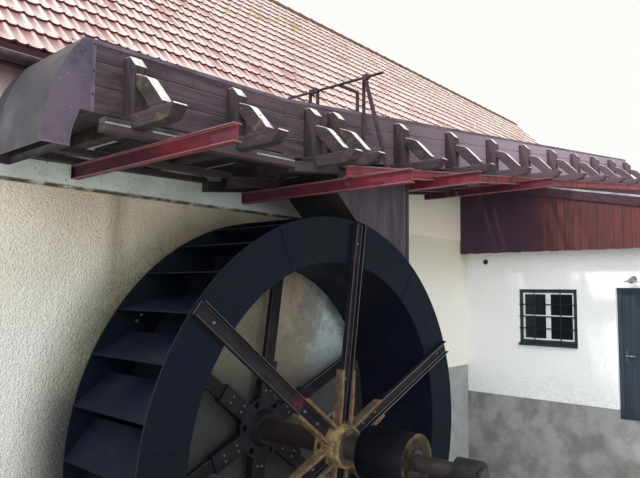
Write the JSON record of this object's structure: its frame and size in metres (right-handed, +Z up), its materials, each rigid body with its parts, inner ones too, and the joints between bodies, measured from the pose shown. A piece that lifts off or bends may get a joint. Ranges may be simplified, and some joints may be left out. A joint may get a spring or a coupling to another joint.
{
  "type": "watermill",
  "caption": "Rendered mill house with a tiled gable roof and a lean-to annex; an overshot iron bucket wheel turns beside its wall under a timber flume on beams.",
  "frame": {"origin": "at the foot of the wheel wall, straight under the wheel shaft, in the middle of the wall's thickness", "axes": "+X along the wheel wall towards the upstream end of the flume and the annex, +Y into the house, square to the wheel wall, +Z up"},
  "size_m": [22.85, 13.18, 10.5898],
  "materials": {
    "render": "rough-cast lime render",
    "smooth_render": "painted render",
    "floor_screed": "worn",
    "roof_tiles": "matt, weathered",
    "sheet_roof": "weathered",
    "dark_boards": "stained",
    "red_boards": "painted, faded",
    "green_joinery": "painted",
    "white_joinery": "painted",
    "window_glass": "clear",
    "door_paint": "painted",
    "black_iron": "matt",
    "steel": "satin",
    "enamel": "enamelled",
    "gutter_brown": "painted",
    "planks": "weathered",
    "mossy_timber": "weathered, mossy",
    "grey_timber": "weathered",
    "oxide_red": "painted",
    "sheet_steel": "weathered",
    "wheel_steel": "wet, stained",
    "spoke_steel": "weathered",
    "rusty_cast": "rusty",
    "dark_cast": "weathered",
    "drum_blue": "painted"
  },
  "bodies": {
    "mill": {"wheel_wall": "render", "back_wall": "render", "left_gable": "render", "right_gable": "render", "ground_floor": "floor_screed", "loft_floor": "grey_timber", "front_roof": "roof_tiles", "back_roof": "roof_tiles", "ridge_tiles": "roof_tiles", "gutters": "gutter_brown", "roof_boards": "dark_boards", "window_frames": "green_joinery", "casements": "white_joinery", "window_glass": "window_glass", "annex_side_wall": "smooth_render", "annex_corner_wall": "smooth_render", "annex_doorway_walls": "smooth_render", "annex_front_wall": "smooth_render", "annex_end_wall": "smooth_render", "annex_floor": "floor_screed", "annex_roof": "sheet_roof", "annex_boarding": "red_boards", "door_frame": "door_paint", "door_pintles": "black_iron", "wall_lamp": "enamel", "flume_near_side": "planks", "flume_far_side": "planks", "flume_floor": "planks", "flume_sills": "mossy_timber", "walkway_boards": "grey_timber", "bracket_posts": "mossy_timber", "knee_braces": "mossy_timber", "timber_rails": "grey_timber", "long_beam": "oxide_red", "roof_blocks": "grey_timber", "cantilever_beams": "oxide_red", "overflow_hood": "sheet_steel", "feed_box": "sheet_steel", "gate_frame": "black_iron", "outer_bearing": "dark_cast", "wall_bearing": "dark_cast", "pier": "floor_screed"},
    "wheel": {"front_shroud": "wheel_steel", "back_shroud": "wheel_steel", "wheel_sole": "wheel_steel", "buckets": "wheel_steel", "front_spokes": "spoke_steel", "back_spokes": "spoke_steel", "front_hub": "rusty_cast", "back_hub": "dark_cast", "wheel_shaft": "spoke_steel", "belt_drum": "drum_blue"},
    "annex_door": {"door_leaf": "door_paint", "door_straps": "black_iron", "door_handle": "steel"},
    "sluice_gate": {"gate_shaft": "black_iron", "gate_leaf": "planks"}
  },
  "joints": [
    {"name": "wheel_turn", "type": "hinge", "parent": "mill", "child": "wheel", "pos_m": [0, -1.015, 2.55], "axis": [0, 1, 0], "continuous": true},
    {"name": "door_swing", "type": "hinge", "parent": "mill", "child": "annex_door", "pos_m": [5.434, -3.658, 3.15], "axis": [0, 0, -1], "range_deg": [0, 95]},
    {"name": "gate_lift", "type": "hinge", "parent": "mill", "child": "sluice_gate", "pos_m": [0.47, -1.155, 6.48049], "axis": [0, -1, 0], "range_deg": [0, 15]}
  ]
}
